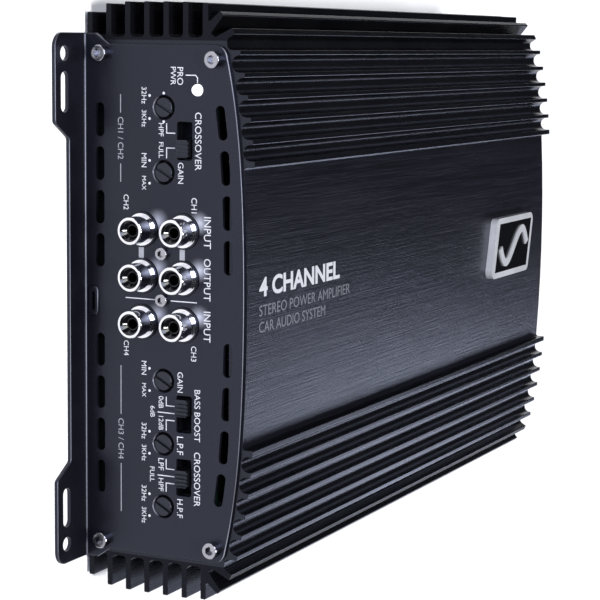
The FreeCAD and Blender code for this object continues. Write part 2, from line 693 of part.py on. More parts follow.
def choke_winding():
    return winding(*CHOKE_AT, BOARD_TOP + 2.0, 11.0, 12.0, 6.5, 1.6, 16)


def can(x, y, radius, height):
    # an aluminium can capacitor with its crimp groove and vented top
    body = rod(radius, (x, y, BOARD_TOP), (0, 0, 1), height)
    groove = tube(radius + 1, radius - 0.5, (x, y, BOARD_TOP + 2.2), (0, 0, 1), 1.0)
    vent = [box(x - radius * 0.7, x + radius * 0.7, y - 0.2, y + 0.2,
                BOARD_TOP + height - 0.4, BOARD_TOP + height + 1)]
    vent.append(box(x - 0.2, x + 0.2, y - radius * 0.7, y + radius * 0.7,
                    BOARD_TOP + height - 0.4, BOARD_TOP + height + 1))
    return body.cut([groove] + vent)


def supply_capacitors():
    places = [(-12.0, 70.0), (10.0, 70.0), (32.0, 70.0), (-12.0, 92.0), (10.0, 92.0)]
    return group([can(x, y, 8.0, 30.0) for x, y in places])


def signal_capacitors():
    places = [(x, y) for y in (-98.0, -84.0) for x in (-56.0, -40.0, -24.0, -8.0, 8.0, 24.0, 40.0, 56.0)]
    return group([can(x, y, 3.15, 11.0) for x, y in places])


def amplifier_chips():
    chips = []
    for x in (-48.0, -32.0, -16.0, 0.0, 16.0, 32.0, 48.0):
        chips.append(box(x - 4.8, x + 4.8, -72.0, -65.6, BOARD_TOP + 0.5, BOARD_TOP + 3.8))
    return group(chips)


def power_package(side, y):
    # a transistor in a TO-220 case, standing with its tab against the side wall
    face = WALL_INNER - 0.4
    tab = box(face - 1.3, face, y - 5.0, y + 5.0, 18.0, 34.0)
    case = box(face - 4.4, face - 1.3, y - 5.0, y + 5.0, 18.0, 27.5)
    legs = [box(face - 3.2, face - 2.4, y + k - 0.4, y + k + 0.4, BOARD_TOP, 18.0)
            for k in (-2.54, 0.0, 2.54)]
    package = fused([tab, case] + legs)
    return package if side > 0 else mirror_x(package)


def output_transistors():
    return group([power_package(1, y) for y in PACKAGE_Y])


def supply_transistors():
    return group([power_package(-1, y) for y in PACKAGE_Y])


def insulating_pads():
    pads = []
    for side in (-1, 1):
        x0, x1 = sorted((side * (WALL_INNER - 0.4), side * WALL_INNER))
        pad = box(x0, x1, -78.0, 78.0, 17.0, 35.0)
        pads.append(pad.cut([rod(1.7, (side * 70, y, CLAMP_Z), (side, 0, 0), 8) for y in CLAMP_SCREW_Y]))
    return group(pads)


def clamp_bars():
    bars = []
    face = WALL_INNER - 0.4 - 4.4
    for side in (-1, 1):
        x0, x1 = sorted((side * (face - 2.0), side * face))
        bar = box(x0, x1, -76.0, 76.0, CLAMP_Z - 5.0, CLAMP_Z + 3.0)
        bars.append(bar.cut([rod(1.7, (side * 60, y, CLAMP_Z), (side, 0, 0), 20)
                             for y in CLAMP_SCREW_Y]))
    return group(bars)


def clamp_screws():
    face = WALL_INNER - 0.4 - 4.4 - 2.0
    return group([slotted_screw((side * face, y, CLAMP_Z), (side, 0, 0), 2.6, 1.8, SCREW_SHANK, 10.0)
                  for side in (-1, 1) for y in CLAMP_SCREW_Y])


# ---- wiring end ---------------------------------------------------------------------------------
def terminal_block(block, places, wire, cage, access):
    # a moulded housing with one open chamber, one wire entry and one screw hole per way
    x0, x1, z0, z1 = block
    wire_z, wire_radius = wire[:2]
    back, front = 118.0, BODY_HALF + TERMINAL_REACH
    body = round_box(x0, x1, back, front, z0, z1, 0.6)
    cutters = []
    for x in places:
        half, depth, low, high = cage
        cutters.append(box(x - half, x + half, front - 1.6 - depth, front - 1.6, low, high))
        cutters.append(rod(wire_radius + 0.25, (x, front - 3, wire_z), (0, 1, 0), 5))
        cutters.append(rod(access, (x, front - 1.6 - depth / 2, high - 1), (0, 0, 1), z1 - high + 2))
    for x in [(a + b) / 2 for a, b in zip(places[:-1], places[1:])]:
        cutters.append(box(x - 0.35, x + 0.35, front - 1.0, front + 1, z0 - 1, z1 + 1))
    return body.cut(cutters)


def cages(places, wire, cage, thread):
    # plated brass blocks, each with its wire hole and its tapped hole
    half, depth, low, high = cage
    wire_z, wire_radius, wire_depth = wire
    front = BODY_HALF + TERMINAL_REACH - 1.6
    blocks = []
    for x in places:
        block = box(x - half + 0.05, x + half - 0.05, front - depth + 0.05, front - 0.05,
                    low + 0.05, high - 0.05)
        block = block.cut([rod(wire_radius, (x, front - wire_depth, wire_z), (0, 1, 0), wire_depth + 1),
                           rod(thread, (x, front - depth / 2, wire_z), (0, 0, 1), high)])
        blocks.append(block)
    return group(blocks)


def cage_screws(places, tip_z, seat_z, cage, head, thread):
    half, depth, low, high = cage
    y = BODY_HALF + TERMINAL_REACH - 1.6 - depth / 2
    return group([slotted_screw((x, y, seat_z), (0, 0, -1), head, 1.6, thread, seat_z - tip_z)
                  for x in places])


def power_terminal_housing():
    return terminal_block(POWER_BLOCK, POWER_X, POWER_WIRE, POWER_CAGE, 3.3)


def power_terminal_clamps():
    return cages(POWER_X, POWER_WIRE, POWER_CAGE, 2.5)


def power_terminal_screws():
    return cage_screws(POWER_X, POWER_WIRE[0] + POWER_WIRE[1] + 0.3, POWER_CAGE[3] + 0.9,
                       POWER_CAGE, 3.0, 2.45)


def speaker_terminal_housing():
    return terminal_block(SPEAKER_BLOCK, SPEAKER_X, SPEAKER_WIRE, SPEAKER_CAGE, 2.3)


def speaker_terminal_clamps():
    return cages(SPEAKER_X, SPEAKER_WIRE, SPEAKER_CAGE, 1.4)


def speaker_terminal_screws():
    return cage_screws(SPEAKER_X, SPEAKER_WIRE[0] + SPEAKER_WIRE[1] + 0.3, SPEAKER_CAGE[3] + 0.7,
                       SPEAKER_CAGE, 2.0, 1.35)


def blade_heights():
    offset = FUSE_BODY[1] / 2 - BLADE[1] / 2 - 1.4
    return (FUSE_Z - offset, FUSE_Z + offset)


def fuse_holder():
    x0, x1, z0, z1 = FUSE_BLOCK
    body = round_box(x0, x1, 118.0, BODY_HALF + 5.0, z0, z1, 0.6)
    gap = 0.35
    cutters = []
    for x in FUSE_X.values():
        half_x, half_z = FUSE_BODY[0] / 2 + gap, FUSE_BODY[1] / 2 + gap
        cutters.append(box(x - half_x, x + half_x, FUSE_SEAT - gap, BODY_HALF + 8,
                           FUSE_Z - half_z, FUSE_Z + half_z))
        for z in blade_heights():
            cutters.append(box(x - 1.6, x + 1.6, FUSE_SEAT - 8.6, FUSE_SEAT, z - 3.2, z + 3.2))
    return body.cut(cutters)


def fuse_contacts():
    # spring clips that the fuse blades plug into
    clips = []
    for x in FUSE_X.values():
        for z in blade_heights():
            for side in (-1, 1):
                inner, outer = sorted((x + side * 0.7, x + side * 1.55))
                clips.append(box(inner, outer, FUSE_SEAT - 8.2, FUSE_SEAT - 1.2, z - 2.9, z + 2.9))
    return group(clips)


def fuse_body(name):
    x = FUSE_X[name]
    half_x, half_z = FUSE_BODY[0] / 2, FUSE_BODY[1] / 2
    body = round_box(x - half_x, x + half_x, FUSE_SEAT, FUSE_SEAT + FUSE_BODY[2],
                     FUSE_Z - half_z, FUSE_Z + half_z, 0.8)
    window = box(x - half_x - 1, x + half_x + 1, FUSE_SEAT + FUSE_BODY[2] - 3.2,
                 FUSE_SEAT + FUSE_BODY[2] - 2.0, FUSE_Z - 3.6, FUSE_Z + 3.6)
    return body.cut(window)


def fuse_blades(name):
    x = FUSE_X[name]
    thick, wide, length = BLADE
    blades = []
    for z in blade_heights():
        outline = [(z - wide / 2, 0.0), (z + wide / 2, 0.0), (z + wide / 2, -length + 1.2),
                   (z + wide / 2 - 1.0, -length), (z - wide / 2 + 1.0, -length),
                   (z - wide / 2, -length + 1.2), (z - wide / 2, 0.0)]
        wire = Part.makePolygon([V(x - thick / 2, FUSE_SEAT + along, height)
                                 for height, along in outline])
        blades.append(Part.Face(wire).extrude(V(thick, 0, 0)))
    return group(blades)


# ---- badge --------------------------------------------------------------------------------------
def badge():
    half_l, half_w = BADGE_LENGTH / 2, BADGE_WIDTH / 2
    plate = prism([(-half_w, BADGE_Y - half_l + BADGE_LEAN, 3.0),
                   (half_w, BADGE_Y - half_l - BADGE_LEAN, 3.0),
                   (half_w, BADGE_Y + half_l - BADGE_LEAN, 3.0),
                   (-half_w, BADGE_Y + half_l + BADGE_LEAN, 3.0)], "xy", CROWN_TOP - 2, BADGE_TOP)
    edge_x = TOP_FIN_INNERMOST - INNERMOST_THICKNESS / 2 - 1.2
    left, right = V(-edge_x, 40, crown(edge_x)), V(edge_x, 40, crown(edge_x))
    crest = Part.Arc(left, V(0, 40, crown(0)), right).toShape()
    base = Part.makePolygon([right, V(edge_x, 40, 30), V(-edge_x, 40, 30), left])
    under = Part.Face(Part.Wire([crest] + base.Edges)).extrude(V(0, 90, 0))
    return plate.cut(under)


# ---- output -------------------------------------------------------------------------------------
def sub_parts():
    parts = {
        "heat_sink": heat_sink(),
        "bottom_cover": bottom_cover(),
        "cover_screws": cover_screws(),
        "control_panel": control_panel(),
        "terminal_panel": terminal_panel(),
        "control_panel_screws": plate_screws(),
        "terminal_panel_screws": turned(plate_screws()),
        "rca_housing": rca_housing(),
        "rca_shells": rca_shells(),
        "rca_insulators": rca_insulators(),
        "rca_contacts": rca_contacts(),
        "rca_screws": rca_screws(),
        "trimmer_bodies": trimmer_bodies(),
        "switch_bodies": switch_bodies(),
        "power_led": power_led(),
        "control_boards": control_boards(),
        "board_headers": board_headers(),
        "main_board": main_board(),
        "standoffs": standoffs(),
        "board_screws": board_screws(),
        "transformer_core": transformer_core(),
        "transformer_winding": transformer_winding(),
        "choke_core": choke_core(),
        "choke_winding": choke_winding(),
        "supply_capacitors": supply_capacitors(),
        "signal_capacitors": signal_capacitors(),
        "amplifier_chips": amplifier_chips(),
        "output_transistors": output_transistors(),
        "supply_transistors": supply_transistors(),
        "insulating_pads": insulating_pads(),
        "clamp_bars": clamp_bars(),
        "clamp_screws": clamp_screws(),
        "power_terminal_housing": power_terminal_housing(),
        "power_terminal_clamps": power_terminal_clamps(),
        "power_terminal_screws": power_terminal_screws(),
        "speaker_terminal_housing": speaker_terminal_housing(),
        "speaker_terminal_clamps": speaker_terminal_clamps(),
        "speaker_terminal_screws": speaker_terminal_screws(),
        "fuse_holder": fuse_holder(),
        "fuse_contacts": fuse_contacts(),
        "badge": badge(),
    }
    for name, x in TRIMMER_X.items():
        parts[name] = trimmer_knob(x)
    for name in SWITCH_X:
        parts[name] = slider(name)
    for name in FUSE_X:
        parts[name + "_body"] = fuse_body(name)
        parts[name + "_blades"] = fuse_blades(name)
    return parts


os.makedirs("parts", exist_ok=True)
for node, shape in sub_parts().items():
    shape.exportStep("parts/" + node + ".step")
    print(node, len(shape.Solids), "solids", round(shape.Volume / 1000, 2), "cm3", shape.isValid())
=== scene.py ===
import json
import math

import bpy
import bmesh
from mathutils import Matrix, Vector


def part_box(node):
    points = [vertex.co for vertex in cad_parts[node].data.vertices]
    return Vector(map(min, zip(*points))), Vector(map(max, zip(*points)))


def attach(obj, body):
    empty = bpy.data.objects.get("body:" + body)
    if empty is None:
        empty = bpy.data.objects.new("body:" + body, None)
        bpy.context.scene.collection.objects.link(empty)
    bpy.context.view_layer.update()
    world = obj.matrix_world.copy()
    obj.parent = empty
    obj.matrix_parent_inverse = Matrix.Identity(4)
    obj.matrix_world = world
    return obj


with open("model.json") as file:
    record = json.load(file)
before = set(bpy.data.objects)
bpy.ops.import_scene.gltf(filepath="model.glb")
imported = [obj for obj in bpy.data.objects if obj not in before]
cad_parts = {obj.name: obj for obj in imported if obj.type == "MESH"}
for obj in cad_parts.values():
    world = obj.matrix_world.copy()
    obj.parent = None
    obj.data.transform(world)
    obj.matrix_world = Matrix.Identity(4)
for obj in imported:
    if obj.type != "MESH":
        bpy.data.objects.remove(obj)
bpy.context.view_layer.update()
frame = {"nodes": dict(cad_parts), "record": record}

MM = 0.001
BODY = "amplifier"
COOL = (0.74, 0.80, 1.0)                      # tint of the softboxes
SHEEN = (0.72, 0.77, 1.0, 1.0)                # tint of the black finishes' reflections

# ---- shape of the extrusion and of the end plates -----------------------------------------------
SHEET = 1.2 * MM                              # thickness of the end plates
PANEL_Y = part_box("heat_sink")[0].y - SHEET    # outer face of the control panel
FLANGE_TOP = 2.5 * MM                         # the end plates' flanges and folds lie below this
SHOULDER = (58.0 * MM, 78.0 * MM)             # |x| where an end plate's top edge turns down
CROWN_TOP = 56.3                              # crowned face in millimetres, and how it falls with x
CROWN_SQUARE = 0.00058
CROWN_FOURTH = 9.5e-8
CROWN_HALF = 41.9 * MM                        # the brushed face is inside this |x| ...
CROWN_LOW = 54.0 * MM                         # ... and above this height
SIDE_FINS = 78.5 * MM                         # the side fins are outside this |x|


def crown(x):
    """Height of the crowned top face at x, both in metres."""
    x = x / MM
    return (CROWN_TOP - CROWN_SQUARE * x ** 2 - CROWN_FOURTH * x ** 4) * MM


def centre(node):
    low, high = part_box(node)
    return (Vector(low) + Vector(high)) / 2


# plated jacks, in millimetres, and the soft light they throw on the panel beside them
JACK_X = (-22.33, -8.33, 5.67)
JACK_Z = (21.26, 35.42)
GLOW_SHIFT = (-2.7, 5.3)
GLOW_CORE = 0.3 * MM
GLOW_RADIUS = 4.2 * MM
# colour of the painted highlights on the powder coat
PAINTED_HIGHLIGHT_TINT = (0.42, 0.43, 0.50)


# ---- node materials -----------------------------------------------------------------------------
class Shader:
    """A material being built: the node tree, its Principled shader and short helpers."""

    def __init__(self, name, color, roughness, metallic=0.0, **settings):
        self.material = bpy.data.materials.new(name)
        self.material.use_nodes = True
        self.tree = self.material.node_tree
        self.nodes = self.tree.nodes
        self.bsdf = self.nodes["Principled BSDF"]
        self.set("Base Color", (*color, 1.0))
        self.set("Roughness", roughness)
        self.set("Metallic", metallic)
        for key, value in settings.items():
            self.set(key.replace("_", " "), value)
        self.coords = self.nodes.new("ShaderNodeTexCoord").outputs["Object"]

    def set(self, socket, value):
        self.bsdf.inputs[socket].default_value = value

    def link(self, source, target):
        self.tree.links.new(source, target)
        return source

    def stretched(self, scale):
        mapping = self.nodes.new("ShaderNodeMapping")
        mapping.inputs["Scale"].default_value = scale
        self.link(self.coords, mapping.inputs["Vector"])
        return mapping.outputs["Vector"]

    def axes(self, vector):
        node = self.nodes.new("ShaderNodeSeparateXYZ")
        self.link(vector, node.inputs[0])
        return node.outputs

    def noise(self, scale, stretch=(1, 1, 1), detail=3.0, rough=0.55):
        node = self.nodes.new("ShaderNodeTexNoise")
        node.inputs["Scale"].default_value = scale
        node.inputs["Detail"].default_value = detail
        node.inputs["Roughness"].default_value = rough
        self.link(self.stretched(stretch), node.inputs["Vector"])
        return node.outputs["Fac"]

    def spread(self, value, low, high, start=0.3, end=0.7):
        """Maps a value from start..end to low..high."""
        node = self.nodes.new("ShaderNodeMapRange")
        for key, number in (("From Min", start), ("From Max", end), ("To Min", low), ("To Max", high)):
            node.inputs[key].default_value = number
        self.link(value, node.inputs["Value"])
        return node.outputs["Result"]

    def math(self, operation, a, b=0.0):
        node = self.nodes.new("ShaderNodeMath")
        node.operation = operation
        for socket, value in zip(node.inputs, (a, b)):
            if isinstance(value, (int, float)):
                socket.default_value = value
            else:
                self.link(value, socket)
        return node.outputs[0]

    def mix_color(self, factor, low, high):
        node = self.nodes.new("ShaderNodeMix")
        node.data_type = "RGBA"
        self.link(factor, node.inputs[0])
        for socket, value in ((node.inputs[6], low), (node.inputs[7], high)):
            if isinstance(value, tuple):
                socket.default_value = (*value, 1.0)
            else:
                self.link(value, socket)
        return node.outputs[2]

    def mix_value(self, factor, low, high):
        """low where factor is 0 and high where it is 1."""
        rest = self.math("SUBTRACT", 1.0, factor)
        return self.math("ADD", self.math("MULTIPLY", rest, low), self.math("MULTIPLY", factor, high))

    def bump(self, height, strength, distance):
        node = self.nodes.new("ShaderNodeBump")
        node.inputs["Strength"].default_value = strength
        node.inputs["Distance"].default_value = distance
        self.link(height, node.inputs["Height"])
        self.link(node.outputs["Normal"], self.bsdf.inputs["Normal"])

    def to(self, socket, value):
        self.link(value, self.bsdf.inputs[socket])


def anodised():
    """Black anodised extrusion: drawn grain along Y, with the flat crown brushed in streaks."""
    s = Shader("anodised_black", (0.003, 0.003, 0.004), 0.3,
               Specular_IOR_Level=0.4, Specular_Tint=SHEEN)
    place = s.axes(s.coords)
    inside = s.math("LESS_THAN", s.math("ABSOLUTE", place[0]), CROWN_HALF)
    high = s.math("GREATER_THAN", place[2], CROWN_LOW)
    brushed = s.math("MULTIPLY", inside, high)
    streak = s.noise(1.0, (2600, 26, 1), detail=4.0, rough=0.65)
    wide = s.noise(1.0, (420, 9, 1), detail=3.0, rough=0.6)
    grain = s.noise(1.0, (1500, 30, 1500), detail=2.0)
    cloud = s.noise(28.0, detail=2.0)
    both = s.math("ADD", s.math("MULTIPLY", streak, 0.6), s.math("MULTIPLY", wide, 0.4))
    face = s.mix_color(s.spread(both, 0.0, 1.0, 0.38, 0.62),
                       (0.002, 0.002, 0.003), (0.008, 0.008, 0.012))
    plain = s.mix_color(s.spread(cloud, 0.0, 1.0), (0.002, 0.002, 0.003), (0.004, 0.004, 0.005))
    s.to("Base Color", s.mix_color(brushed, plain, face))
    s.to("Roughness",
         s.mix_value(brushed, s.spread(grain, 0.25, 0.30), s.spread(both, 0.26, 0.40)))
    # painted shade: the side fins take a lower specular level, so they stay dark as if shaded by the
    # fins above them
    side_fin_shade = s.math("GREATER_THAN", s.math("ABSOLUTE", place[0]), SIDE_FINS)
    s.to("Specular IOR Level", s.mix_value(side_fin_shade, 0.4, 0.14))
    height = s.mix_value(brushed, s.math("MULTIPLY", grain, 0.04), both)
    s.bump(height, 0.8, 0.00018)
    return s.material


def powder_coat():
    """Powder coat on the folded end plates, with painted highlights: paler on the fold and the outline
    that face up and out, most of all round the shoulders, and paler where the plated jacks throw light
    on it."""
    s = Shader("panel_black", (0.004, 0.004, 0.006), 0.3,
               Specular_IOR_Level=0.4, Specular_Tint=SHEEN)
    fine = s.noise(2600.0, detail=3.0, rough=0.6)
    cloud = s.noise(18.0, detail=2.0)
    coat = s.mix_color(s.spread(cloud, 0.0, 1.0), (0.003, 0.003, 0.005), (0.005, 0.005, 0.008))
    facing = s.axes(s.nodes.new("ShaderNodeNewGeometry").outputs["Normal"])
    place = s.axes(s.coords)
    # painted highlight: faces that turn up and out (the fold, the outline and the hole rims) take a
    # paler coat, stronger round the shoulders
    outward = s.spread(s.math("ABSOLUTE", facing[1]), 0.0, 1.0, 0.3, 0.65)
    rim = s.math("MULTIPLY", outward, s.spread(facing[2], 0.0, 1.0, 0.3, 0.65))
    shoulder = s.spread(s.math("ABSOLUTE", place[0]), 0.22, 0.75, *SHOULDER)
    upright = s.math("GREATER_THAN", place[2], FLANGE_TOP)
    strength = s.mix_value(upright, 0.18, shoulder)
    glow = None
    # painted highlight: a soft pale spot beside each plated jack, where the jack throws light on the
    # panel
    for x, z in [(x, z) for x in JACK_X for z in JACK_Z]:
        across = s.math("SUBTRACT", place[0], (x + GLOW_SHIFT[0]) * MM)
        up = s.math("SUBTRACT", place[2], (z + GLOW_SHIFT[1]) * MM)
        squares = s.math("ADD", s.math("POWER", across, 2), s.math("POWER", up, 2))
        spot = s.spread(s.math("SQRT", squares), 1.0, 0.0, GLOW_CORE, GLOW_RADIUS)
        glow = spot if glow is None else s.math("MAXIMUM", glow, spot)
    front = s.math("LESS_THAN", place[1], PANEL_Y + SHEET / 4)
    glow = s.math("MULTIPLY", s.math("POWER", glow, 1.8), front)
    painted_highlight = s.math("MAXIMUM", s.math("MULTIPLY", rim, strength), glow)
    s.to("Base Color", s.mix_color(painted_highlight, coat, PAINTED_HIGHLIGHT_TINT))
    s.to("Roughness", s.spread(fine, 0.26, 0.34))
    s.bump(fine, 0.2, 0.00003)
    return s.material


def metal(name, color, low, high, bump=0.15):
    """Worn bare or plated metal; its roughness runs from low to high."""
    s = Shader(name, color, (low + high) / 2, 1.0)
    fine = s.noise(900.0, detail=3.0)
    worn = s.noise(120.0, detail=3.0, rough=0.7)
    both = s.math("ADD", s.math("MULTIPLY", fine, 0.6), s.math("MULTIPLY", worn, 0.4))
    s.to("Roughness", s.spread(both, low, high))
    shade = tuple(c * 0.86 for c in color)
    s.to("Base Color", s.mix_color(s.spread(worn, 0.0, 1.0), shade, color))
    s.bump(fine, bump, 0.00003)
    return s.material


def plastic(name, color, low, high, bump=0.12, **settings):
    """A fine-grained moulding or coat; its roughness runs from low to high."""
    s = Shader(name, color, (low + high) / 2, **settings)
    fine = s.noise(1800.0, detail=3.0, rough=0.6)
    cloud = s.noise(60.0, detail=2.0)
    shade = tuple(c * 0.8 for c in color)
    s.to("Base Color", s.mix_color(s.spread(cloud, 0.0, 1.0), shade, color))
    s.to("Roughness", s.spread(fine, low, high))
    s.bump(fine, bump, 0.00004)
    return s.material


def lamp():
    """The lit lens of the power and protection lamp."""
    s = Shader("led_lens", (0.9, 0.92, 1.0), 0.25, Emission_Strength=0.7)
    s.set("Emission Color", (0.95, 0.97, 1.0, 1.0))
    fine = s.noise(700.0, detail=2.0)
    s.to("Roughness", s.spread(fine, 0.18, 0.32))
    s.bump(fine, 0.1, 0.00002)
    return s.material


def amber():
    """Translucent fuse body."""
    s = Shader("fuse_amber", (0.80, 0.30, 0.03), 0.2, Transmission_Weight=0.45, IOR=1.5)
    cloud = s.noise(160.0, detail=2.0)
    s.to("Base Color",
         s.mix_color(s.spread(cloud, 0.0, 1.0), (0.72, 0.24, 0.02), (0.86, 0.34, 0.04)))
    s.to("Roughness", s.spread(cloud, 0.14, 0.26))
    return s.material


def circuit():
    """Green solder mask with faint copper tracks under it."""
    s = Shader("board_green", (0.01, 0.10, 0.04), 0.35)
    tracks = s.nodes.new("ShaderNodeTexBrick")
    tracks.inputs["Scale"].default_value = 90.0
    tracks.inputs["Mortar Size"].default_value = 0.06
    tracks.inputs["Color1"].default_value = (0.010, 0.090, 0.035, 1.0)
    tracks.inputs["Color2"].default_value = (0.012, 0.110, 0.045, 1.0)
    tracks.inputs["Mortar"].default_value = (0.030, 0.180, 0.070, 1.0)
    s.link(s.stretched((1, 1, 1)), tracks.inputs["Vector"])
    s.to("Base Color", tracks.outputs["Color"])
    s.to("Roughness", s.spread(s.noise(400.0), 0.28, 0.42))
    return s.material


def ink(name, color):
    """Printed lettering."""
    s = Shader(name, color, 0.5)
    fine = s.noise(3000.0, detail=2.0)
    shade = tuple(c * 0.88 for c in color)
    s.to("Base Color", s.mix_color(s.spread(fine, 0.0, 1.0), shade, color))
    s.to("Roughness", s.spread(fine, 0.42, 0.6))
    return s.material


def backdrop():
    """Matt, nearly white paper for the floor."""
    s = Shader("pale_floor", (0.92, 0.92, 0.93), 0.9)
    cloud = s.noise(6.0, detail=2.0)
    s.to("Base Color",
         s.mix_color(s.spread(cloud, 0.0, 1.0), (0.91, 0.91, 0.92), (0.93, 0.93, 0.94)))
    return s.material


SLOTS = {
    "anodised_black": anodised(),
    "panel_black": powder_coat(),
    "cover_black": plastic("cover_black", (0.022, 0.022, 0.024), 0.42, 0.56),
    "bright_screw": metal("bright_screw", (0.35, 0.35, 0.38), 0.12, 0.20, bump=0.05),
    "jack_chrome": metal("jack_chrome", (0.80, 0.80, 0.83), 0.07, 0.14, bump=0.04),
    "black_plastic": plastic("black_plastic", (0.004, 0.004, 0.005), 0.24, 0.36,
                             Specular_Tint=SHEEN),
    "knob_plastic": plastic("knob_plastic", (0.005, 0.005, 0.006), 0.26, 0.36,
                            Specular_Tint=SHEEN),
    "terminal_plastic": plastic("terminal_plastic", (0.012, 0.012, 0.014), 0.22, 0.34),
    "brass_plated": metal("brass_plated", (0.83, 0.63, 0.30), 0.2, 0.34),
    "tinned": metal("tinned", (0.72, 0.72, 0.74), 0.24, 0.38),
    "led_lens": lamp(),
    "board_green": circuit(),
    "ferrite": plastic("ferrite", (0.05, 0.05, 0.055), 0.5, 0.7),
    "copper_wire": metal("copper_wire", (0.72, 0.32, 0.14), 0.22, 0.36),
    "can_metal": metal("can_metal", (0.5, 0.51, 0.55), 0.24, 0.4),
    "epoxy": plastic("epoxy", (0.014, 0.014, 0.016), 0.4, 0.55),
    "thermal_pad": plastic("thermal_pad", (0.42, 0.45, 0.5), 0.6, 0.75),
    "plain_steel": metal("plain_steel", (0.62, 0.62, 0.65), 0.24, 0.4),
    "fuse_amber": amber(),
    "badge_silver": plastic("badge_silver", (0.66, 0.67, 0.71), 0.3, 0.4, bump=0.1,
                            Metallic=0.3),
}
GLOSSY_BLACK = plastic("glossy_black", (0.003, 0.003, 0.004), 0.08, 0.14, bump=0.05)
# painted shade: the plated contact tubes deep in the jacks' bores take a near-black metal, for the
# shade in the bores
SHADED_CONTACT = metal("shaded_contact", (0.05, 0.05, 0.055), 0.3, 0.4)
# nodes that look different from the rest of their slot
SPECIAL = {"rca_insulators": GLOSSY_BLACK, "rca_contacts": SHADED_CONTACT,
           "switch_bodies": SLOTS["black_plastic"]}
PRINT = ink("white_print", (0.58, 0.59, 0.63))
PRINT_SOFT = ink("soft_print", (0.30, 0.31, 0.35))
PRINT_DIM = ink("grey_print", (0.17, 0.175, 0.20))


def dress_frame():
    """Every carried-over CAD node takes the material of its slot, or its own special one."""
    slots = {entry["node"]: entry["material_slot"] for entry in frame["record"]["subparts"]}
    for name, node in frame["nodes"].items():
        node.data.materials.clear()
        node.data.materials.append(SPECIAL.get(name) or SLOTS[slots[name]])


# ---- printed lettering and lines ----------------------------------------------------------------
INK = 0.03 * MM                               # thickness of a print
PRINT_LIFT = 0.01 * MM                        # gap under a print on a flat face
CROWN_LIFT = 0.02 * MM                        # gap under a print on the crowned face
FRONT = Matrix.Rotation(math.radians(90), 4, "X")        # text in XZ, seen from -Y
TOP = Matrix.Rotation(math.radians(90), 4, "Z")          # text along +Y, seen from above

# panel prints, in millimetres; offsets are from a trimmer's axis
TRIMMER_TITLE_RISE = 5.8
LEGEND_SIDE = 3.4
LEGEND_DROP = 6.75
LEGEND_DOT_DROP = 4.85
STOP_DOT_SIDE = 4.2
DOT_RADIUS = 0.42
SWITCH_TITLE_Z = 40.3
BRACKET_LOW = 26.6
BRACKET_CORNER = 29.6
BRACKET_TOP = 32.5
CHANNELS_Z = 13.7
JACK_TITLE_Z = 43.5
LINE_WIDTH = 0.3
MITRE_LIMIT = 0.3


def finish_piece(obj, material):
    obj.data.materials.clear()
    obj.data.materials.append(material)
    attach(obj, BODY)
    return obj


def mesh_object(name, mesh):
    obj = bpy.data.objects.new(name, mesh)
    bpy.context.scene.collection.objects.link(obj)
    return obj


def lettering(name, words, length, weight=0.0, height=None):
    """A flat text mesh in XY, centred on the origin, length long and by choice height high."""
    curve = bpy.data.curves.new(name, "FONT")
    curve.body = words
    curve.align_x = "CENTER"
    curve.align_y = "CENTER"
    curve.offset = weight
    curve.extrude = 0.5
    curve.resolution_u = 4
    holder = bpy.data.objects.new(name, curve)
    mesh = bpy.data.meshes.new_from_object(holder)
    bpy.data.objects.remove(holder)
    xs = [v.co.x for v in mesh.vertices]
    ys = [v.co.y for v in mesh.vertices]
    scale_x = length / (max(xs) - min(xs))
    scale_y = height / (max(ys) - min(ys)) if height else scale_x
    middle = Vector(((max(xs) + min(xs)) / 2, (max(ys) + min(ys)) / 2, 0))
    for v in mesh.vertices:
        x, y, z = v.co - middle
        v.co = (x * scale_x, y * scale_y, INK if v.co.z > 0 else 0.0)
    return mesh


def print_on(name, mesh, turn, place, material=None):
    mesh.transform(Matrix.Translation(place) @ turn)
    return finish_piece(mesh_object(name, mesh), material or PRINT)


def stroke(points, width):
    """A flat line with mitred corners, in XY."""
    bm = bmesh.new()
    rows = []
    for i, p in enumerate(points):
        p = Vector((*p, 0))
        before = (p - Vector((*points[i - 1], 0))).normalized() if i else None
        after = (Vector((*points[i + 1], 0)) - p).normalized() if i < len(points) - 1 else None
        along = (before or after) + (after or before)
        along.normalize()
        side = Vector((-along.y, along.x, 0))
        leg = before or after
        reach = width / 2 / max(MITRE_LIMIT, abs(side.dot(Vector((-leg.y, leg.x, 0)))))
        rows.append([bm.verts.new(p + side * reach), bm.verts.new(p - side * reach)])
    for (a, b), (c, d) in zip(rows[:-1], rows[1:]):
        bm.faces.new((a, b, d, c))
    return solid_sheet(bm)


def solid_sheet(bm):
    """Gives a flat face set the thickness of the ink."""
    result = bmesh.ops.extrude_face_region(bm, geom=bm.faces[:])
    for v in [g for g in result["geom"] if isinstance(g, bmesh.types.BMVert)]:
        v.co.z += INK
    bmesh.ops.recalc_face_normals(bm, faces=bm.faces[:])
    mesh = bpy.data.meshes.new("print")
    bm.to_mesh(mesh)
    bm.free()
    return mesh


def dot(radius):
    bm = bmesh.new()
    bmesh.ops.create_circle(bm, cap_ends=True, segments=20, radius=radius)
    return solid_sheet(bm)


def on_panel(x, z):
    """A point just proud of the control panel, from millimetres."""
    return Vector((x * MM, PANEL_Y - PRINT_LIFT, z * MM))


def panel_text(name, words, x, z, length, material=None):
    print_on(name, lettering(name, words, length * MM), FRONT, on_panel(x, z), material)


def panel_line(name, points, width=LINE_WIDTH, material=None):
    mesh = stroke([(x * MM, z * MM) for x, z in points], width * MM)
    print_on(name, mesh, FRONT, on_panel(0, 0), material)


def panel_dot(name, x, z):
    print_on(name, dot(DOT_RADIUS * MM), FRONT, on_panel(x, z))


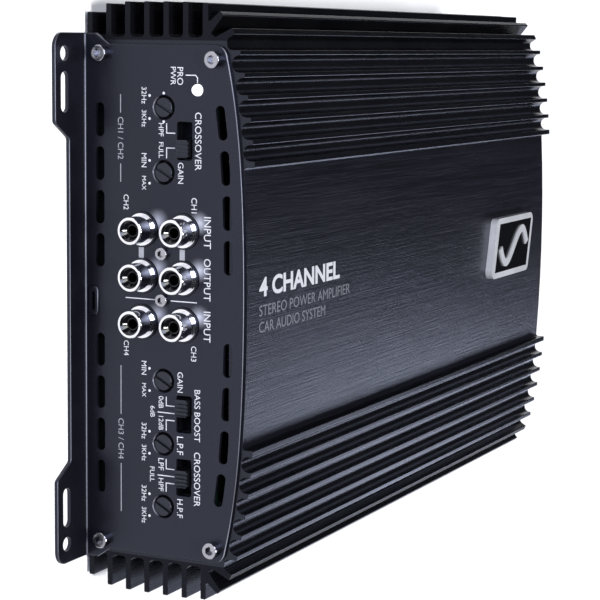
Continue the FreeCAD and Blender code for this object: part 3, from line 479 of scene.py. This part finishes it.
def trimmer_print(trimmer, title, low, high, title_length):
    """Title over a trimmer, and two marked ends of its travel under it."""
    at = centre(trimmer) / MM
    panel_text(trimmer + "_title", title, at.x, at.z + TRIMMER_TITLE_RISE, title_length)
    for side, words in ((-1, low), (1, high)):
        length = 5.0 if "Hz" in words else 4.2
        x = at.x + side * LEGEND_SIDE
        panel_text(trimmer + "_" + words, words, x, at.z - LEGEND_DROP, length)
        panel_dot(trimmer + "_dot_" + words, x, at.z - LEGEND_DOT_DROP)


def switch_print(name, x, title, title_length, legends):
    """Title over a slide switch, and legends with brackets that lead to its positions."""
    panel_text(name + "_title", title, x, SWITCH_TITLE_Z, title_length)
    for words, offset, text_x, text_z, length in legends:
        panel_text(name + "_" + words, words, x + text_x, text_z, length)
        if abs(text_x) > 1:
            outer_end = x + text_x + math.copysign(length / 2, text_x)
            ends = [(outer_end, BRACKET_CORNER), (x + offset, BRACKET_CORNER),
                    (x + offset, BRACKET_TOP)]
        else:
            ends = [(x + offset, BRACKET_LOW), (x + offset, BRACKET_TOP)]
        panel_line(name + "_line_" + words, ends)


def panel_lettering():
    trimmer_print("front_gain_trimmer", "GAIN", "MIN", "MAX", 6.2)
    trimmer_print("rear_gain_trimmer", "GAIN", "MIN", "MAX", 6.2)
    trimmer_print("rear_lowpass_trimmer", "L.P.F", "32Hz", "3KHz", 5.6)
    trimmer_print("rear_highpass_trimmer", "H.P.F", "32Hz", "3KHz", 5.8)
    at = centre("front_crossover_trimmer") / MM
    for side, words in ((-1, "32Hz"), (1, "3KHz")):
        x = at.x + side * LEGEND_SIDE
        panel_dot("front_crossover_stop_" + words, at.x + side * STOP_DOT_SIDE, at.z)
        panel_text("front_crossover_" + words, words, x, at.z - LEGEND_DROP, 5.0)
        panel_dot("front_crossover_dot_" + words, x, at.z - LEGEND_DOT_DROP)
    switch_print("front_switch", -49.1, "CROSSOVER", 17.0,
                 [("HPF", -2.2, -3.1, 27.7, 3.9), ("FULL", 2.2, 2.9, 27.7, 4.7)])
    switch_print("boost_switch", 32.8, "BASS BOOST", 15.8,
                 [("0dB", -2.2, -3.1, 27.8, 3.7), ("6dB", 0.0, 0.0, 24.85, 3.4),
                  ("12dB", 2.2, 3.3, 27.8, 4.3)])
    switch_print("rear_switch", 52.2, "CROSSOVER", 16.6,
                 [("LPF", -2.2, -3.4, 27.8, 3.7), ("FULL", 0.0, 0.0, 24.7, 4.7),
                  ("HPF", 2.2, 2.9, 27.8, 4.0)])
    for words, x, z, length in (("PRO", -68.1, 34.15, 5.2), ("PWR", -68.1, 31.8, 5.3),
                                ("CH1", -30.2, 39.0, 4.5), ("CH2", -30.2, 15.6, 4.6),
                                ("CH3", 14.1, 39.0, 4.6), ("CH4", 14.1, 15.6, 4.6)):
        panel_text("mark_" + words, words, x, z, length)
    jack_titles = (("input_front", "INPUT", 9.4), ("output", "OUTPUT", 12.6),
                   ("input_rear", "INPUT", 9.2))
    for x, (name, words, length) in zip(JACK_X, jack_titles):
        panel_text("mark_" + name, words, x, JACK_TITLE_Z, length)
    panel_line("lamp_line", [(-68.4, 36.0), (-68.4, 39.3), (-67.7, 40.0), (-66.1, 40.0)])
    for name, words, x, half in (("front", "CH1 / CH2", -49.3, 13.1),
                                 ("rear", "CH3 / CH4", 42.3, 22.7)):
        panel_text("channels_" + name, words, x, CHANNELS_Z, 12.6, material=PRINT_SOFT)
        for side in (-1, 1):
            ends = [(x + side * 7.6, CHANNELS_Z), (x + side * half, CHANNELS_Z)]
            panel_line("channels_%s_line_%d" % (name, side), ends, 0.28, PRINT_SOFT)
    for name, z in (("low", 20.9), ("high", 35.0)):
        panel_line("pair_bar_" + name, [(-16.9, z), (-13.7, z)], 1.75, PRINT_SOFT)
    for name, low, high in (("low", 15.4, 25.6), ("high", 31.1, 40.0)):
        panel_line("jack_rule_" + name, [(-1.33, low), (-1.33, high)])


def on_crown(mesh):
    """Lays a flat print on the crowned top face."""
    for v in mesh.vertices:
        v.co.z += crown(v.co.x) + CROWN_LIFT


def top_lettering():
    """Three rows that start at one line; x, length and height in millimetres."""
    start = -122.7 * MM
    rows = (("title", "4 CHANNEL", -5.9, 56.0, 5.9, 0.03, PRINT),
            ("line", "STEREO POWER AMPLIFIER", 1.1, 64.0, 3.3, 0.0, PRINT_DIM),
            ("second_line", "CAR AUDIO SYSTEM", 6.1, 45.6, 3.3, 0.0, PRINT_DIM))
    for name, words, x, length, height, weight, material in rows:
        mesh = lettering(name, words, length * MM, weight, height * MM)
        mesh.transform(Matrix.Translation((x * MM, start + length * MM / 2, 0)) @ TOP)
        on_crown(mesh)
        finish_piece(mesh_object("top_" + name, mesh), material)


BADGE_LEAN = 6.0 / 23.0                       # slant of the badge's ends
FIELD_HALF_X = 9.3 * MM
FIELD_HALF_Y = 18.2 * MM
FIELD_INSET = 1.2 * MM                        # the rim is this much wider at the front
WAVE_LENGTH = 29.0 * MM
WAVE_HEIGHT = 6.0 * MM
WAVE_WIDTH = 3.0 * MM
WAVE_THICKNESS = 0.6 * MM
WAVE_STEPS = 48


def badge_face():
    """A dark field inside a silver rim, with one period of a sine wave across it."""
    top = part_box("badge")[1].z
    middle = centre("badge")
    corners = []
    for x, y in ((-1, -1), (1, -1), (1, 1), (-1, 1)):
        inset = FIELD_INSET if y < 0 else 0.0
        corners.append((x * FIELD_HALF_X,
                        y * FIELD_HALF_Y - x * FIELD_HALF_X * BADGE_LEAN + inset))
    bm = bmesh.new()
    bm.faces.new([bm.verts.new((x, y, 0)) for x, y in corners])
    field = solid_sheet(bm)
    field.transform(Matrix.Translation((middle.x, middle.y, top + PRINT_LIFT)))
    finish_piece(mesh_object("badge_field", field), GLOSSY_BLACK)
    points = []
    for i in range(WAVE_STEPS + 1):
        along = (i / WAVE_STEPS - 0.5) * WAVE_LENGTH
        across = WAVE_HEIGHT * math.sin(2 * math.pi * i / WAVE_STEPS)
        points.append((across, along - across * BADGE_LEAN))
    wave = stroke(points, WAVE_WIDTH)
    for v in wave.vertices:
        v.co.z = WAVE_THICKNESS if v.co.z > INK / 2 else 0.0
    wave.transform(Matrix.Translation((middle.x, middle.y, top + INK)))
    finish_piece(mesh_object("badge_wave", wave), SLOTS["badge_silver"])


# ---- floor, light and camera --------------------------------------------------------------------
WORLD_STRENGTH = 0.03
SUN_STRENGTH = 3.5
SUN_SPREAD = math.radians(14)
SUN_TURN = (math.radians(27), math.radians(4), 0)
CAMERA_LENS = 115.9
CAMERA_PLACE = (-0.0786, -0.6273, 0.3183)
CAMERA_RIGHT = Vector((-0.0106, 0.4431, 0.8964))
CAMERA_DOWN = Vector((0.9911, -0.1144, 0.0683))
CAMERA_FORWARD = Vector((0.1328, 0.8892, -0.4379))


def floor():
    bpy.ops.mesh.primitive_plane_add(size=12.0, location=(0, 0, 0))
    plane = bpy.context.object
    plane.name = "floor"
    plane.data.materials.append(backdrop())


def area_light(name, place, target, size, radiance, color=(1, 1, 1)):
    """A softbox that faces target; its brightness doesn't change with its size."""
    light = bpy.data.lights.new(name, "AREA")
    light.shape = "RECTANGLE"
    light.size, light.size_y = size
    light.energy = radiance * math.pi * size[0] * size[1]
    light.color = color
    obj = bpy.data.objects.new(name, light)
    obj.location = place
    obj.rotation_euler = (Vector(target) - Vector(place)).to_track_quat("-Z", "Y").to_euler()
    bpy.context.scene.collection.objects.link(obj)


def lights():
    world = bpy.data.worlds.new("studio")
    world.use_nodes = True
    background = world.node_tree.nodes["Background"]
    background.inputs["Color"].default_value = (*COOL, 1)
    background.inputs["Strength"].default_value = WORLD_STRENGTH
    bpy.context.scene.world = world
    sun = bpy.data.lights.new("overhead", "SUN")
    sun.energy = SUN_STRENGTH
    sun.angle = SUN_SPREAD
    obj = bpy.data.objects.new("overhead", sun)
    obj.rotation_euler = SUN_TURN
    bpy.context.scene.collection.objects.link(obj)
    panel = (0, -0.13, 0.03)
    area_light("crown_softbox", (0.75, 1.42, 0.55), (0, 0, 0.05), (0.75, 0.5), 5.2, COOL)
    area_light("front_softbox", (-0.25, -1.05, 0.42), panel, (0.35, 0.35), 12.0, COOL)
    area_light("key_softbox", (-0.50, -0.76, 0.83), panel, (0.4, 0.4), 9.0)


def camera():
    """The camera is turned on its side: the amplifier's width runs down the picture."""
    data = bpy.data.cameras.new("camera")
    data.sensor_width = 36.0
    data.lens = CAMERA_LENS
    data.clip_start = 0.01
    obj = bpy.data.objects.new("camera", data)
    turn = Matrix((CAMERA_RIGHT, -CAMERA_DOWN, -CAMERA_FORWARD)).transposed().to_4x4()
    obj.matrix_world = Matrix.Translation(CAMERA_PLACE) @ turn
    bpy.context.scene.collection.objects.link(obj)
    bpy.context.scene.camera = obj


dress_frame()
panel_lettering()
top_lettering()
badge_face()
floor()
lights()
camera()
bpy.context.scene.view_settings.view_transform = "Standard"
